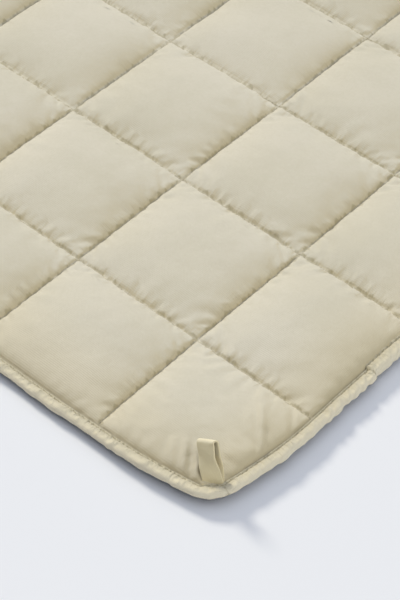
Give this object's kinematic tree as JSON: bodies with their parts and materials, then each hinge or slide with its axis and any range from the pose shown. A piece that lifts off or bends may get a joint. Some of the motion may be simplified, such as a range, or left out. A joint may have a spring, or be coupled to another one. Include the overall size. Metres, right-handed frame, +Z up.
{
  "type": "weighted blanket",
  "caption": "Flat rectangular weighted blanket: puffy square-quilted cotton cells, a narrow folded binding round the edge, rounded corners, and a small standing tape loop at each corner.",
  "frame": {"origin": "on the floor, under the middle of the blanket laid flat", "axes": "+X across the blanket, +Y along it, +Z up through the crowns of the cells"},
  "size_m": [1.2012, 1.8012, 0.0329],
  "materials": {
    "quilt_cotton": "plain-woven brushed cotton, soft matt, sewn through in squares",
    "binding_cotton": "the same cotton folded into a narrow binding and topstitched",
    "loop_tape": "folded self-fabric tape, pressed flat, matt"
  },
  "bodies": {
    "root": {"quilt": "quilt_cotton", "edge_binding": "binding_cotton", "corner_loop_1": "loop_tape", "corner_loop_2": "loop_tape", "corner_loop_3": "loop_tape", "corner_loop_4": "loop_tape"}
  },
  "joints": []
}
